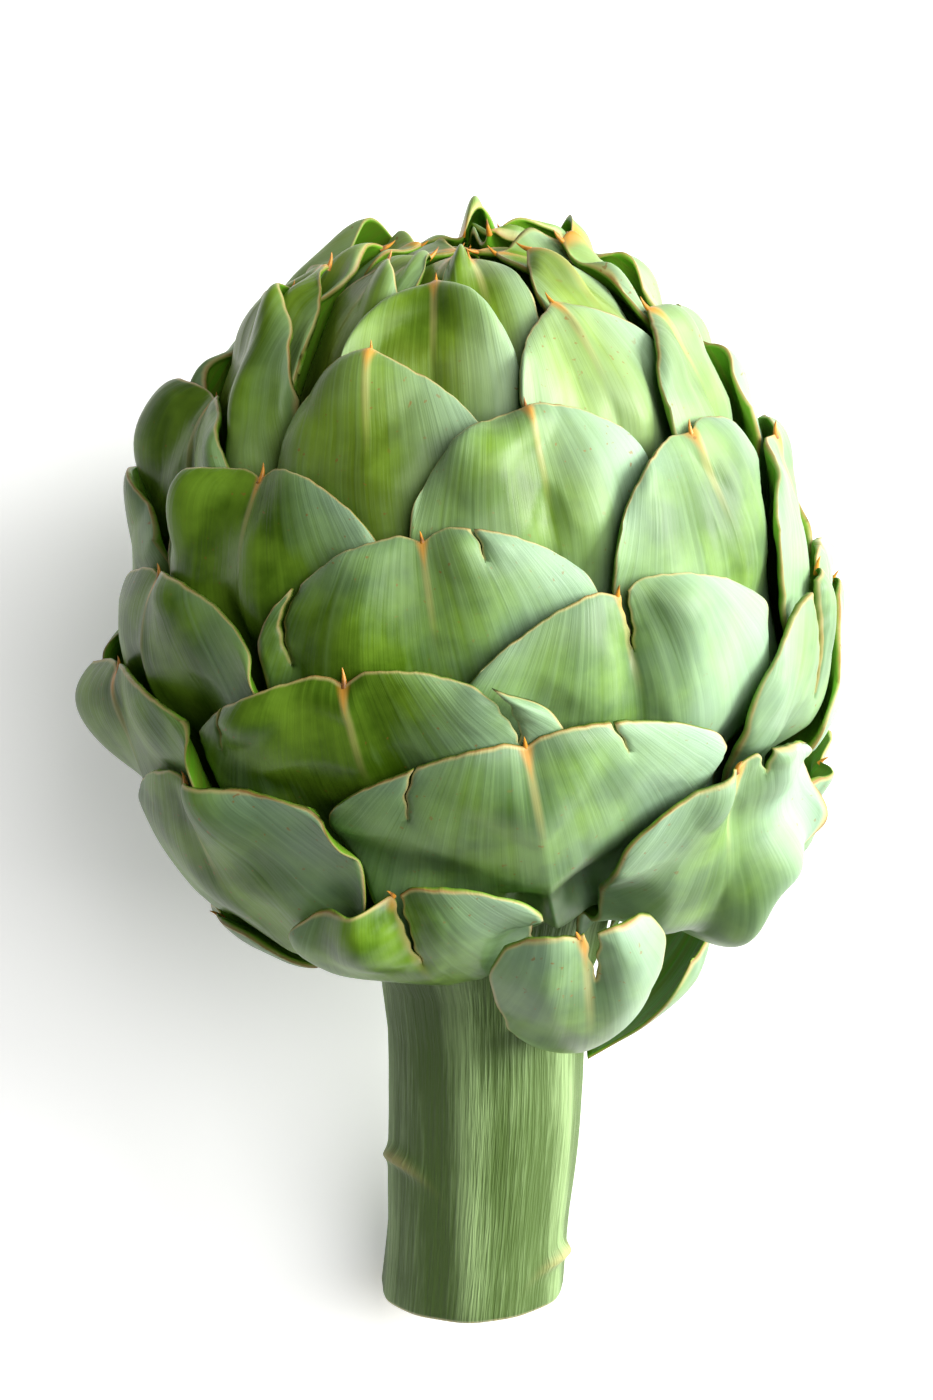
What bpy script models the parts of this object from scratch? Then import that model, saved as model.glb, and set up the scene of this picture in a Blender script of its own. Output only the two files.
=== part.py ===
"""A globe artichoke, cut with a short stem, lying on its side with its tip a little up.

The head is a closed bud of overlapping bracts set on a spiral. Each bract is a curved scale
that rests on the ones inside it, so the bracts are laid one after another, from the innermost
out, and every new one is fitted over the surface built so far. Lengths are in millimetres
until the last step, which sets them in metres.
"""

import math

import bmesh
import bpy
import numpy as np
from mathutils import Matrix, Vector

MM = 0.001

# How the artichoke lies: its axis rises from the floor towards the tip.
AXIS_RISE = 25.15
HEAD_CENTRE_HEIGHT = 65.4

# The spiral of the bracts. Azimuth 0 is the side that faces up as the artichoke lies.
FIRST_BRACT = 3
LAST_BRACT = 58
DIVERGENCE = 132.35
SPIRAL_START = 75.15
KEY_BRACT = 43
KEY_TIP_ANGLE = 96.5
TIP_ANGLE_POWER = 1.31
BASE_ANGLE_FIRST = 125.0
BASE_ANGLE_GROWTH = 0.655

# The size of a bract: half its width, how soon it spreads to that below its tip, how far it
# narrows to its base, and the lean of its middle line, degrees.
HALF_WIDTH_FIRST = 1.0
HALF_WIDTH_GROWTH = 35.0
HALF_WIDTH_TURNS = 22.0
HALF_WIDTH_POWER = 1.2
OUTER_SHRINK_FROM = 44
OUTER_SHRINK = 1.55
NARROW_BRACTS = {46: 24.0, 47: 24.0, 54: 12.5}
SHOULDER_FIRST = 19.0
SHOULDER_FALL = 0.24
SHOULDER_LEAST = 11.0
SHOULDER_SHARE = 0.8
BASE_NARROWING = 0.55
BRACT_LEAN = 9.0
ARC_RADIUS = 54.0

# The thickness of a bract, at its margin and in the middle, and the play between neighbours.
MARGIN_THICKNESS = 0.7
SWELL_THICKNESS = 1.3
PLAY = 0.34
SHOWN_DEPTH = 16.0
HIDDEN_DEPTH = 38.0
FILL_SHARE = 0.6
FILL_DROP = 0.06

# Bracts that stand off the head, with the height of the tip over the ones beneath.
STAND_OFF = {46: 4.0, 49: 4.5, 51: 2.0, 54: 1.0, 57: 7.0}

# A torn bract that hangs under the head: how far its base lies down the stem.
HANG = {54: 9.0}

# Bracts that stray from the spiral: turn about the axis and shift towards the stem, degrees.
STRAY = {10: (-30.0, 0.0), 13: (-11.0, 0.0), 18: (-18.0, 0.0), 35: (-4.0, 2.0),
         38: (10.0, 0.0), 40: (10.0, 0.0), 45: (8.0, -5.0), 47: (0.0, -4.0), 48: (0.0, -4.0),
         54: (-4.0, 17.0)}

# The outline of the whole head: its radius from the centre against the angle from the tip.
HEAD_ANGLES = (0.0, 15.0, 30.0, 45.0, 60.0, 75.0, 90.0, 105.0, 120.0, 135.0, 146.0, 160.0)
HEAD_RADII = (60.5, 58.6, 56.2, 54.4, 54.4, 55.3, 58.2, 61.2, 63.6, 67.5, 68.2, 61.0)

# How the core settles: it keeps to the stem's side of this angle, and the mean of the lumpy
# outside of the head lies this far under its outline.
SETTLE_ANGLE = 132.0
SETTLE_PASSES = 3
PRESSED_DEPTH = 9.0
MEAN_BELOW_OUTLINE = 1.8

# The core under the bracts: its radius from the head's centre against the angle from the tip.
CORE_ANGLES = (0.0, 20.0, 40.0, 60.0, 80.0, 100.0, 120.0, 130.0, 140.0, 150.0, 160.0, 168.0)
CORE_RADII = (60.0, 54.0, 48.5, 46.4, 46.8, 48.0, 48.5, 48.5, 49.5, 51.0, 56.0, 76.0)
BUD_END_ANGLE = 116.0
HEART_TOP = -20.4

STEM_RADIUS = 15.5
NECK_RADIUS = 16.4
STEM_END = -121.8
STEM_BEND = -3.6
CUT_BEVEL = 0.8

# The mesh of a bract and the finer map of the surface built so far.
CELLS_ACROSS = 6
CELLS_ALONG = 7
FIT_SAMPLES = 9
LAY_SAMPLES = 25
MAP_AROUND = 360
MAP_ALONG = 252

COLLECTION = "artichoke"
OUTER_COLOUR = (0.22, 0.33, 0.08, 1.0)
INNER_COLOUR = (0.42, 0.52, 0.18, 1.0)
STEM_COLOUR = (0.36, 0.45, 0.20, 1.0)


def core_radius(angle):
    """Radius of the core at an angle from the tip, with the corners of the profile eased."""
    total = 0.0
    for shift in (-6.0, -3.0, 0.0, 3.0, 6.0):
        total = total + np.interp(angle + shift, CORE_ANGLES, CORE_RADII)
    return total / 5.0


def ease(value, start, end):
    """A smooth step from 0 at the start to 1 at the end."""
    share = np.clip((value - start) / (end - start), 0.0, 1.0)
    return share * share * (3.0 - 2.0 * share)


class SurfaceMap:
    """The outer surface built so far, as a radius for each direction from the head's centre."""

    def __init__(self, core):
        self.radius = core.copy()

    def cells(self, points):
        length = np.linalg.norm(points, axis=-1)
        around = np.degrees(np.arctan2(points[..., 0], -points[..., 1])) % 360.0
        along = np.degrees(np.arccos(np.clip(points[..., 2] / length, -1.0, 1.0)))
        row = around / 360.0 * MAP_AROUND
        column = np.clip(along / 168.0 * MAP_ALONG - 0.5, 0.0, MAP_ALONG - 1.001)
        return row, column, length

    def look_up(self, points):
        """Highest of the four map values round each direction, and the points' own radii."""
        row, column, length = self.cells(points)
        row_0 = np.floor(row).astype(int) % MAP_AROUND
        row_1 = (row_0 + 1) % MAP_AROUND
        column_0 = np.floor(column).astype(int)
        corners = [self.radius[row_0, column_0], self.radius[row_1, column_0],
                   self.radius[row_0, column_0 + 1], self.radius[row_1, column_0 + 1]]
        return np.max(corners, axis=0), length

    def add(self, points):
        row, column, length = self.cells(points)
        rows = np.round(row).astype(int) % MAP_AROUND
        columns = np.clip(np.round(column).astype(int), 0, MAP_ALONG - 1)
        np.maximum.at(self.radius, (rows, columns), length)


def blurred(field):
    """The map evened out over about a bract's width, closed round the axis."""
    for _ in range(3):
        around = sum(np.roll(field, step, axis=0) for step in range(-10, 11)) / 21.0
        padded = np.pad(around, ((0, 0), (12, 12)), mode="edge")
        field = sum(padded[:, step:step + MAP_ALONG] for step in range(25)) / 25.0
    return field


def settled_core():
    """The core let in where the bracts pile up and filled out where they lie thin."""
    angles = (np.arange(MAP_ALONG) + 0.5) * 168.0 / MAP_ALONG
    free = 1.0 - ease(angles, SETTLE_ANGLE, SETTLE_ANGLE + 18.0)
    wanted = np.interp(angles, HEAD_ANGLES, HEAD_RADII) - MEAN_BELOW_OUTLINE
    around, along = np.meshgrid(np.arange(MAP_AROUND) * 2.0 * math.pi / MAP_AROUND,
                                np.radians(angles), indexing="ij")
    facing = np.stack([np.sin(around) * np.sin(along), -np.cos(around) * np.sin(along),
                       np.cos(along)], axis=-1)
    wanted = np.minimum(wanted, floor_radius(facing) - PRESSED_DEPTH)
    core = np.repeat(core_radius(angles)[None, :], MAP_AROUND, axis=0)
    for _ in range(SETTLE_PASSES):
        surface = SurfaceMap(core)
        for order in range(FIRST_BRACT, LAST_BRACT + 1):
            bract_skins(order, surface)
        core = core - np.clip(blurred(surface.radius) - wanted, -3.0, 4.0) * free
    return core


def bract_half_width(order):
    """Half the greatest width of a bract."""
    grown = 1.0 - math.exp(-(order / HALF_WIDTH_TURNS) ** HALF_WIDTH_POWER)
    half_width = HALF_WIDTH_FIRST + HALF_WIDTH_GROWTH * grown
    half_width -= OUTER_SHRINK * max(0, order - OUTER_SHRINK_FROM)
    return NARROW_BRACTS.get(order, half_width)


def bract_place(order):
    """Azimuth of a bract, and the angles of its tip and its base from the head's tip."""
    turn, shift = STRAY.get(order, (0.0, 0.0))
    azimuth = SPIRAL_START + DIVERGENCE * order + turn
    tip = KEY_TIP_ANGLE * (order / KEY_BRACT) ** TIP_ANGLE_POWER + shift
    base = BASE_ANGLE_FIRST + BASE_ANGLE_GROWTH * order
    return math.radians(azimuth), tip, base


def bract_outline(order, columns, rows):
    """Directions over one bract's grid, with the distance from its top edge."""
    half_width = bract_half_width(order)
    azimuth, tip, base = bract_place(order)
    shoulder = max(SHOULDER_LEAST, SHOULDER_FIRST - SHOULDER_FALL * order)
    if order > OUTER_SHRINK_FROM:
        shoulder *= math.sqrt(half_width / 32.0)
    length = math.radians(base - tip) * ARC_RADIUS
    corner = shoulder * math.sqrt(-math.log(1.0 - SHOULDER_SHARE ** 4))
    u = np.linspace(-1.0, 1.0, columns)[:, None]
    v = (np.linspace(0.0, 1.0, rows) ** 1.25)[None, :]
    top = shoulder * np.sqrt(-np.log(1.0 - (SHOULDER_SHARE * np.abs(u)) ** 4))
    side = corner + v * (length - corner)
    width = half_width * (1.0 - np.exp(-(side / shoulder) ** 2)) ** 0.25
    width = width * (1.0 - BASE_NARROWING * ease(side, corner, length))
    along = top + v * (length - top)
    across = u * width
    lean = math.radians(BRACT_LEAN)
    down = along * math.cos(lean) - across * math.sin(lean)
    aside = across * math.cos(lean) + along * math.sin(lean)
    outward = np.array([math.sin(azimuth), -math.cos(azimuth), 0.0])
    sideways = np.array([math.cos(azimuth), math.sin(azimuth), 0.0])
    angle = math.radians(tip) + down / ARC_RADIUS
    spread = (aside / ARC_RADIUS)[..., None]
    middle = np.sin(angle)[..., None] * outward
    middle = middle + np.cos(angle)[..., None] * np.array([0.0, 0.0, 1.0])
    directed = np.cos(spread) * middle + np.sin(spread) * sideways
    return directed, u, v, along - top


def cell_mixes(count):
    """Corner weights of points over a cell, for both ways of splitting it in triangles."""
    steps = np.linspace(0.0, 1.0, count)
    a, b = np.meshgrid(steps, steps, indexing="ij")
    low = np.minimum(a, b)
    mixes = [(np.maximum(1.0 - a - b, 0.0), np.where(a + b <= 1.0, a, 1.0 - b),
              np.where(a + b <= 1.0, b, 1.0 - a), np.maximum(a + b - 1.0, 0.0)),
             (1.0 - np.maximum(a, b), a - low, b - low, low)]
    return mixes


def grid_cells(grid):
    return grid[:-1, :-1], grid[1:, :-1], grid[:-1, 1:], grid[1:, 1:]


def sample_grid(points, count):
    """Points all over the triangles of a grid, whichever diagonal each cell is split on."""
    found = []
    for mix in cell_mixes(count):
        total = 0.0
        for corner, weight in zip(grid_cells(points), mix):
            total = total + corner[:, :, None, None, :] * weight[None, None, :, :, None]
        found.append(total)
    return np.concatenate(found, axis=2)


def rest_inner_skin(directed, start, surface):
    """Radii that hold a bract's inner skin just clear of everything beneath it."""
    radius = start.copy()
    mixes = cell_mixes(FIT_SAMPLES)
    for _ in range(20):
        points = directed * radius[..., None]
        samples = sample_grid(points, FIT_SAMPLES)
        under, length = surface.look_up(samples)
        short = np.maximum(under + PLAY - length, 0.0)
        raised = np.zeros_like(radius)
        for part, mix in enumerate(mixes):
            span = slice(part * FIT_SAMPLES, (part + 1) * FIT_SAMPLES)
            total = sum(weight ** 2 for weight in mix)
            for place, weight in enumerate(mix):
                push = (short[:, :, span, :] * weight / total).max(axis=(2, 3))
                first = slice(1, None) if place in (1, 3) else slice(None, -1)
                second = slice(1, None) if place in (2, 3) else slice(None, -1)
                raised[first, second] = np.maximum(raised[first, second], push)
        radius = radius + 0.8 * raised
    return radius


def floor_radius(directed):
    """Radius at which each direction from the head's centre meets the floor."""
    rise = math.radians(AXIS_RISE)
    down = -(directed @ np.array([0.0, -math.cos(rise), math.sin(rise)]))
    return np.where(down > 0.05, HEAD_CENTRE_HEIGHT / np.maximum(down, 0.05), 1.0e6)


def bract_skins(order, surface):
    """Inner and outer skins of one bract, as grids of points about the head's centre."""
    directed, u, v, depth = bract_outline(order, CELLS_ACROSS + 1, CELLS_ALONG + 1)
    beneath, _ = surface.look_up(directed)
    inner = rest_inner_skin(directed, beneath + PLAY, surface)
    inner = inner + STAND_OFF.get(order, 0.2) * (1.0 - v) ** 2 + HANG.get(order, 0.0) * v
    swell = (1.0 - np.abs(u) ** 2.5) * (1.0 - np.exp(-depth / 5.0))
    shown = 1.0 - ease(depth, SHOWN_DEPTH, HIDDEN_DEPTH)
    outer = inner + MARGIN_THICKNESS + SWELL_THICKNESS * swell * shown
    angle = np.degrees(np.arccos(directed[..., 2]))
    full = np.interp(angle, HEAD_ANGLES, HEAD_RADII) - FILL_DROP * depth
    fill = np.clip(full - outer, 0.0, 4.0) * FILL_SHARE * shown
    outer = outer + fill
    inner = inner + 0.8 * fill
    outer = np.minimum(outer, floor_radius(directed))
    surface.add(sample_grid(directed * outer[..., None], LAY_SAMPLES))
    return directed * inner[..., None], directed * outer[..., None]


def material(name, colour, roughness):
    made = bpy.data.materials.new(name)
    made.use_nodes = True
    shader = made.node_tree.nodes["Principled BSDF"]
    shader.inputs["Base Color"].default_value = colour
    shader.inputs["Roughness"].default_value = roughness
    shader.inputs["Metallic"].default_value = 0.0
    return made


def add_object(name, mesh_maker, look, collection, holder):
    mesh = bpy.data.meshes.new(name)
    bmesh.ops.recalc_face_normals(mesh_maker, faces=mesh_maker.faces[:])
    mesh_maker.to_mesh(mesh)
    mesh_maker.free()
    mesh.materials.append(look)
    for polygon in mesh.polygons:
        polygon.use_smooth = True
    made = bpy.data.objects.new(name, mesh)
    collection.objects.link(made)
    made.parent = holder
    return made


def bract_body(inner, outer):
    """A grid laid on the inner skin and pushed out to the outer skin, closed at the rim."""
    columns, rows = inner.shape[:2]
    made = bmesh.new()
    place = made.verts.layers.int.new("place")
    bmesh.ops.create_grid(made, x_segments=columns - 1, y_segments=rows - 1, size=1.0)
    for vert in made.verts:
        i = round((vert.co.x + 1.0) / 2.0 * (columns - 1))
        j = round((vert.co.y + 1.0) / 2.0 * (rows - 1))
        vert[place] = i * rows + j
        vert.co = Vector(inner[i, j] * MM)
    pushed = bmesh.ops.extrude_face_region(made, geom=made.faces[:])
    for item in pushed["geom"]:
        if isinstance(item, bmesh.types.BMVert):
            i, j = divmod(item[place], rows)
            item.co = Vector(outer[i, j] * MM)
    return made


def lathe(profile, steps):
    """A profile of radius and height turned about the head's axis."""
    made = bmesh.new()
    verts = [made.verts.new((radius * MM, 0.0, height * MM)) for radius, height in profile]
    edges = [made.edges.new(pair) for pair in zip(verts, verts[1:])]
    bmesh.ops.spin(made, geom=verts + edges, cent=(0.0, 0.0, 0.0), axis=(0.0, 0.0, 1.0),
                   dvec=(0.0, 0.0, 0.0), angle=2.0 * math.pi, steps=steps)
    bmesh.ops.remove_doubles(made, verts=made.verts[:], dist=0.00002)
    return made


def core_point(core, angle):
    """Radius from the axis and height of the core's surface, kept within the settled core."""
    column = min(int(angle / 168.0 * MAP_ALONG), MAP_ALONG - 1)
    radius = float(core[:, column].min()) - 0.1
    return radius * math.sin(math.radians(angle)), radius * math.cos(math.radians(angle))


def inner_bud(core):
    """The closed cone of the youngest bracts that fills the middle of the head."""
    profile = [(0.0, core_point(core, 0.0)[1])]
    for angle in np.linspace(9.0, BUD_END_ANGLE, 13):
        profile.append(core_point(core, float(angle)))
    profile.append((0.0, HEART_TOP + 0.3))
    return lathe(profile, 24)


def stem_and_heart(core):
    """The heart of the head and the stem it grew on, cut off square at its end."""
    rim_radius, rim_height = core_point(core, BUD_END_ANGLE + 1.0)
    profile = [(0.0, HEART_TOP), (rim_radius, rim_height)]
    for angle in (124.0, 132.0, 140.0, 147.0, 154.0, 160.0, 164.0, 167.0):
        profile.append(core_point(core, angle))
    for height in (-74.0, -84.0, -96.0, -108.0):
        radius = np.interp(height, (-108.0, -84.0), (STEM_RADIUS, NECK_RADIUS))
        profile.append((float(radius), height))
    profile.append((STEM_RADIUS, STEM_END + CUT_BEVEL))
    profile.append((STEM_RADIUS - CUT_BEVEL, STEM_END))
    profile.append((0.0, STEM_END))
    made = lathe(profile, 28)
    for vert in made.verts:
        below = max(0.0, -70.0 * MM - vert.co.z) / ((-70.0 - STEM_END) * MM)
        vert.co.x += STEM_BEND * MM * below ** 1.6
    return made


def press_on_floor(made, to_row):
    """Keep every corner of a piece on or above the floor."""
    back = to_row.inverted()
    for vert in made.verts:
        at = to_row @ vert.co
        if at.z < 0.0:
            at.z = 0.0
            vert.co = back @ at


def bounds(objects):
    corners = [item.matrix_world @ vert.co for item in objects for vert in item.data.vertices]
    low = [min(corner[axis] for corner in corners) for axis in range(3)]
    high = [max(corner[axis] for corner in corners) for axis in range(3)]
    return low, high


def main():
    for item in list(bpy.data.objects):
        bpy.data.objects.remove(item, do_unlink=True)
    collection = bpy.data.collections.new(COLLECTION)
    bpy.context.scene.collection.children.link(collection)
    holder = bpy.data.objects.new("artichoke_axis", None)
    collection.objects.link(holder)
    holder.rotation_euler = (math.radians(AXIS_RISE - 90.0), 0.0, 0.0)
    holder.location = (0.0, 0.0, HEAD_CENTRE_HEIGHT * MM)
    turned = Matrix.Rotation(math.radians(AXIS_RISE - 90.0), 4, "X")
    to_row = Matrix.Translation(holder.location) @ turned

    outer_green = material("bract_green", OUTER_COLOUR, 0.6)
    inner_green = material("bud_green", INNER_COLOUR, 0.6)
    stem_green = material("stem_green", STEM_COLOUR, 0.65)

    pieces = []
    core = settled_core()
    body = stem_and_heart(core)
    press_on_floor(body, to_row)
    pieces.append(add_object("stem_and_heart", body, stem_green, collection, holder))
    pieces.append(add_object("inner_bud", inner_bud(core), inner_green, collection, holder))
    surface = SurfaceMap(core)
    for order in range(FIRST_BRACT, LAST_BRACT + 1):
        inner, outer = bract_skins(order, surface)
        name = "bract_%02d" % (order - FIRST_BRACT + 1)
        body = bract_body(inner, outer)
        pieces.append(add_object(name, body, outer_green, collection, holder))

    bpy.context.view_layer.update()
    low, high = bounds(pieces)
    holder.location.x -= (low[0] + high[0]) / 2.0
    holder.location.y -= (low[1] + high[1]) / 2.0
    bpy.context.view_layer.update()


main()
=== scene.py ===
"""The looks of a fresh globe artichoke that lies on its side, modelled round its CAD frame.

Every bract is laid on the ones inside it, from the innermost out, as they grow on a real head.
Lengths are in millimetres until a mesh is written, and the frame is in metres.
"""

import math

import bmesh
import bpy
import numpy as np
from mathutils import Matrix, Vector


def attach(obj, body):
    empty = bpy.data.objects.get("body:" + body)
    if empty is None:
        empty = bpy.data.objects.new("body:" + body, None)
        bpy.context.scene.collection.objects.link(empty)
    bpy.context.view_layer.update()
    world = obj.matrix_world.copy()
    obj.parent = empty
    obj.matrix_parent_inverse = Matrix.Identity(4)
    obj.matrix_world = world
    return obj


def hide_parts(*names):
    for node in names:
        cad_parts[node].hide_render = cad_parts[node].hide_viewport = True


bl_info = {
    "name": "Fresh artichoke",
    "version": (1, 0, 0),
    "blender": (4, 5, 0),
    "location": "View3D > Sidebar > Artichoke",
    "description": "Models the bracts, thorns and stem of a globe artichoke around its CAD frame",
    "category": "Object",
}

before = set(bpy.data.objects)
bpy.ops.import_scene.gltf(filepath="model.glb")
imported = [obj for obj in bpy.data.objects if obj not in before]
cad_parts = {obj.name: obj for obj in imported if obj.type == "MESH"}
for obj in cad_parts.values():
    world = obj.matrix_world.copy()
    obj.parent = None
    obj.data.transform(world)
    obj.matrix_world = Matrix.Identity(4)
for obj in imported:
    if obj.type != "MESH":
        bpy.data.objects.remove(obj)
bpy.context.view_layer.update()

MM = 0.001

# How the head lies in the frame: its axis rises from the floor towards the tip.
AXIS_RISE = 25.15
HEAD_CENTRE = (0.001331, 0.028276, 0.0654)

# The spiral of the bracts. Azimuth 0 is the side that faces up as the artichoke lies.
FIRST_BRACT = 3
LAST_BRACT = 58
DIVERGENCE = 132.35
SPIRAL_START = 75.15
KEY_BRACT = 43
KEY_TIP_ANGLE = 96.5
TIP_ANGLE_POWER = 1.31
BASE_ANGLE_FIRST = 125.0
BASE_ANGLE_GROWTH = 0.655

# The size of a bract: half its width and how it grows down the spiral, how soon the bract
# spreads to that below its tip, how far it narrows to its base, the lean of its middle line,
# degrees, and the radius of the ball that its flat outline is wrapped on.
HALF_WIDTH_FIRST = 2.5
HALF_WIDTH_GROWTH = 33.5
HALF_WIDTH_TURNS = 22.0
HALF_WIDTH_POWER = 1.2
OUTER_SHRINK_FROM = 44
OUTER_SHRINK = 1.55
NARROW_BRACTS = {46: 20.5, 47: 24.0, 51: 18.5, 54: 12.0, 57: 11.0}
SHOULDER_FIRST = 19.0
SHOULDER_FALL = 0.24
SHOULDER_LEAST = 11.0
YOUNG_SHOULDER = 6.0
YOUNG_SHOULDER_RISE = 0.8
SHOULDER_SHARE = 0.8
BASE_NARROWING = 0.55
BRACT_LEAN = 9.0
ARC_RADIUS = 54.0

# The thickness of a bract in its middle, a young one's share of it, and how high an outer
# bract puffs up beside its sunken middle.
SWELL_THICKNESS = 1.9
YOUNG_SWELL_SHARE = 0.4
PUFF_HEIGHT = 0.9
VALLEY_DEPTH = 0.9
MIDRIB_HEIGHT = 0.22

# The play between neighbours, how far down from its top edge a bract shows and where it is
# hidden, the same for the lowest ones, how much of the way to the head's outline it fills
# out, and how far its tip stands off.
PLAY = 0.12
SHOWN_DEPTH = 16.0
HIDDEN_DEPTH = 38.0
LOWEST_HIDDEN_DEPTH = 52.0
FILL_SHARE = 0.6
FILL_DROP = 0.06
TIP_STAND_OFF = 0.3

# How far a young bract's tip stands off more than an outer one's, and the bracts that stand
# further off the head, with the height of the tip over the ones beneath.
YOUNG_STAND_OFF = 0.2
STAND_OFF = {46: 1.2, 49: 3.0, 51: 2.0}

# Bracts that lie over a neighbour that grew after them.
LAID_AFTER = {46: 49.5}

# Torn bracts that stand free of the head, on the neck: angle of the base, radius of the tip
# and of the base from the head's centre, how far the middle bulges out, how far the sides
# curl in and how far the bract twists open.
FREE = {54: (167.0, 67.5, 72.5, 3.5, 4.0, 0.0), 57: (168.0, 67.4, 81.0, 1.0, 1.5, 5.0)}

# Bracts that stray from the spiral: turn about the axis and shift towards the stem, degrees.
STRAY = {5: (-15.0, 2.3), 7: (18.0, 0.0), 8: (-4.0, 3.0), 10: (-12.0, 3.4), 13: (-11.0, 1.0),
         15: (15.0, 0.0), 18: (-18.0, 0.0), 35: (-4.0, 2.0), 38: (10.0, 0.0),
         40: (10.0, 0.0), 45: (8.0, -5.0), 47: (0.0, -4.0), 48: (0.0, -4.0),
         54: (-6.0, -4.0), 57: (39.0, 6.5)}

# The youngest bracts crowd out of the bud between the others: their azimuth and the angle of
# the tip, degrees.
BUD_BRACTS = {3.5: (190.0, 5.0), 4.5: (330.0, 6.7), 5.3: (66.0, 6.6), 7.5: (247.0, 10.3),
              8.5: (150.0, 11.0), 11.5: (259.0, 15.8)}

# Bracts folded to a ridge along the middle, with the height of the ridge.
KEELS = {18: 0.6, 21: 0.3, 24: 0.4, 26: 1.3, 37: 2.0, 42: 1.0, 34: 0.8}

# Splits in the top edge of a bract: place across it from -1 to 1, how deep, how wide open,
# and how far the side towards the bract's far edge lifts.
SPLITS = {32: ((0.33, 4.8, 0.5, 0.0), (-0.84, 12.0, 1.2, 0.8)),
          35: ((0.03, 9.0, 1.3, 0.3),),
          38: ((-0.35, 17.0, 3.7, 0.6), (0.3, 16.0, 0.3, 0.2)),
          40: ((0.76, 10.0, 2.3, 0.8), (-0.72, 7.0, 0.8, 0.5)),
          43: ((0.46, 5.0, 0.6, 0.2), (-0.57, 8.0, 0.5, 0.3)),
          46: ((0.25, 3.5, 2.5, 0.0),),
          51: ((0.0, 11.0, 1.1, 0.2),),
          54: ((0.1, 7.0, 1.6, 0.4),)}

# The outline of the whole head: its radius from the centre against the angle from the tip.
HEAD_ANGLES = (0.0, 15.0, 30.0, 45.0, 60.0, 75.0, 90.0, 105.0, 120.0, 135.0, 146.0, 160.0)
HEAD_RADII = (56.0, 57.0, 55.8, 54.4, 54.2, 55.3, 58.2, 61.2, 63.6, 67.5, 68.2, 61.0)

# How the core settles: past this angle from the tip it stays as it is, over the floor it is
# pressed in this deep, and the mean of the head's lumpy outside lies this far under its
# outline.
SETTLE_ANGLE = 132.0
SETTLE_PASSES = 3
PRESSED_DEPTH = 9.0
MEAN_BELOW_OUTLINE = 1.8

# The core under the bracts before it settles: its radius against the angle from the tip.
CORE_ANGLES = (0.0, 20.0, 40.0, 60.0, 80.0, 100.0, 120.0, 130.0, 140.0, 150.0, 160.0, 168.0)
CORE_RADII = (60.0, 54.0, 48.5, 46.4, 46.8, 48.0, 48.5, 48.5, 49.5, 51.0, 56.0, 76.0)
MAP_END = 168.0
BUD_END_ANGLE = 116.0
HEART_TOP = -20.4

# The stem: heights are along the axis from the head's centre, and it bends to one side.
STEM_RADIUS = 15.5
NECK_RADIUS = 16.4
STEM_END = -121.8
STEM_BEND = -3.6
BEND_START = -70.0

# The fineness of the pieces: a bract's grid, the map of the surface built so far, and the
# points added to it from each cell. The coarse ones are for settling the core.
COARSE_GRID = (25, 29)
FINE_GRID = (61, 73)
COARSE_MAP = (360, 252)
FINE_MAP = (720, 504)
COARSE_SAMPLES = 8
FINE_SAMPLES = 4

# The control net of the sheet that a bract rests on, and the bracts that are stiffer.
SHELL_NET = (9, 11)
STIFF_NET = (5, 7)
STIFF_BRACTS = (10, 13, 21)
SHELL_ROUNDS = 14

THORN_HOOK = 0.3

RANDOM_SEED = 7


def linear(hex_colour):
    """An sRGB hex colour as linear red, green, blue and full alpha."""
    values = []
    for start in (1, 3, 5):
        share = int(hex_colour[start:start + 2], 16) / 255.0
        values.append(share / 12.92 if share <= 0.04045 else ((share + 0.055) / 1.055) ** 2.4)
    return (*values, 1.0)


def length_property(name, description, default):
    return bpy.props.FloatProperty(name=name, description=description, default=default,
                                   min=0.0, unit="LENGTH", subtype="DISTANCE")


def colour_property(name, description, hex_colour):
    return bpy.props.FloatVectorProperty(name=name, description=description, size=4, min=0.0,
                                         max=1.0, default=linear(hex_colour), subtype="COLOR")


class ArtichokeSizes(bpy.types.PropertyGroup):
    """The sizes that a user would change."""
    rim_thickness: length_property("Rim", "Thickness of a bract at its edge", 0.0005)
    notch_depth: length_property("Notch", "Depth of the notch in an outer bract's top", 0.0017)
    thorn_length: length_property("Thorn length", "Length of the thorn in the notch", 0.0021)
    thorn_width: length_property("Thorn width", "Width of a thorn at its root", 0.0010)
    rib_height: length_property("Stem rib", "Height of the ribs along the stem", 0.0003)


class ArtichokeColours(bpy.types.PropertyGroup):
    """The colours that a user would change."""
    deep_green: colour_property("Deep green", "Bare green of a bract's middle", "#3F5F0A")
    leaf_green: colour_property("Leaf green", "Lighter green between the veins", "#6B8F24")
    young_green: colour_property("Young green", "Yellow green of the young bracts", "#9DB23F")
    # The wax colour is also laid on as painted light, paler on the side towards the key light.
    bloom_and_painted_light: colour_property("Wax bloom", "Pale wax over the green", "#A2BFA4")
    margin: colour_property("Margin", "Dry pale margin of a bract", "#C6B676")
    scorch: colour_property("Scorched edge", "Brown edge and specks", "#8C5A26")
    inner_face: colour_property("Inner face", "Smooth inner face of a bract", "#5F9A1E")
    thorn: colour_property("Thorn", "Horny thorn", "#D8902C")
    stem: colour_property("Stem", "Green of the stem", "#4A6424")
    stem_rib: colour_property("Stem ribs", "Pale downy ribs of the stem", "#8DA86C")
    pith: colour_property("Pith", "Cut end of the stem", "#C9CBA0")
    floor: colour_property("Floor", "Pale floor", "#F4F4F2")


def ease(value, start, end):
    """A smooth step from 0 at the start to 1 at the end."""
    share = np.clip((value - start) / (end - start), 0.0, 1.0)
    return share * share * (3.0 - 2.0 * share)


def bump(value, width):
    """A smooth bump of height 1 about 0."""
    return np.exp(-(value / width) ** 2)


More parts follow.
